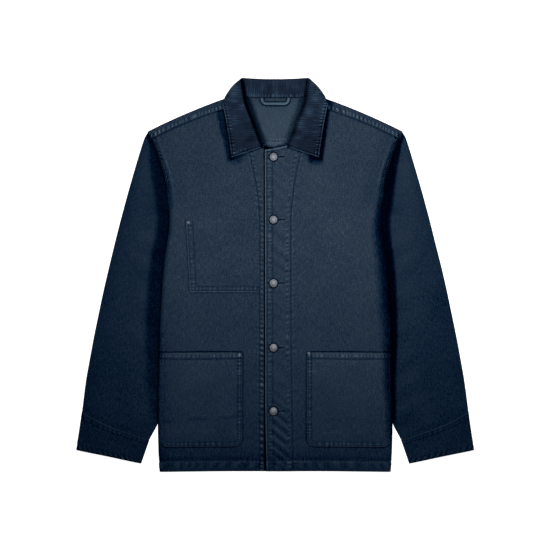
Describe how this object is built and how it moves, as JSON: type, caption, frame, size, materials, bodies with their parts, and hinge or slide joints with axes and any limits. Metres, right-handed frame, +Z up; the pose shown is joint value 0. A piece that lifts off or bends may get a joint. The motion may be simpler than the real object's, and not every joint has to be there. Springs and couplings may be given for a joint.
{
  "type": "chore jacket",
  "caption": "Navy canvas chore jacket laid flat, front up: corduroy collar, metal tack buttons in keyhole buttonholes, chest and hip patch pockets, deep cuffs, sides folded under.",
  "frame": {"origin": "centre of the outline on the surface that the jacket lies on", "axes": "+X to the wearer's left across the jacket, +Y from the hem to the collar, +Z up out of the front"},
  "size_m": [0.7688, 0.7654, 0.0153],
  "materials": {
    "canvas": "garment-dyed navy cotton canvas, washed, with paler ridges along its puckered seams",
    "canvas_inside": "paler inside of the same navy cotton canvas",
    "corduroy": "fine-wale navy cotton corduroy, wales across the collar",
    "button_metal": "domed pewter-grey metal tack button",
    "rivet_metal": "small dark grey metal rivet"
  },
  "bodies": {
    "root": {"front_right": "canvas", "front_left": "canvas", "back": "canvas", "sleeve_right": "canvas", "sleeve_left": "canvas", "cuff_right": "canvas", "cuff_left": "canvas", "collar": "corduroy", "neck_facing": "canvas_inside", "hanger_loop": "canvas", "chest_pocket": "canvas", "hip_pocket_right": "canvas", "hip_pocket_left": "canvas", "button_1": "button_metal", "button_2": "button_metal", "button_3": "button_metal", "button_4": "button_metal", "button_5": "button_metal", "rivet_chest": "rivet_metal", "rivet_hip_right": "rivet_metal", "rivet_hip_left": "rivet_metal"}
  },
  "joints": []
}
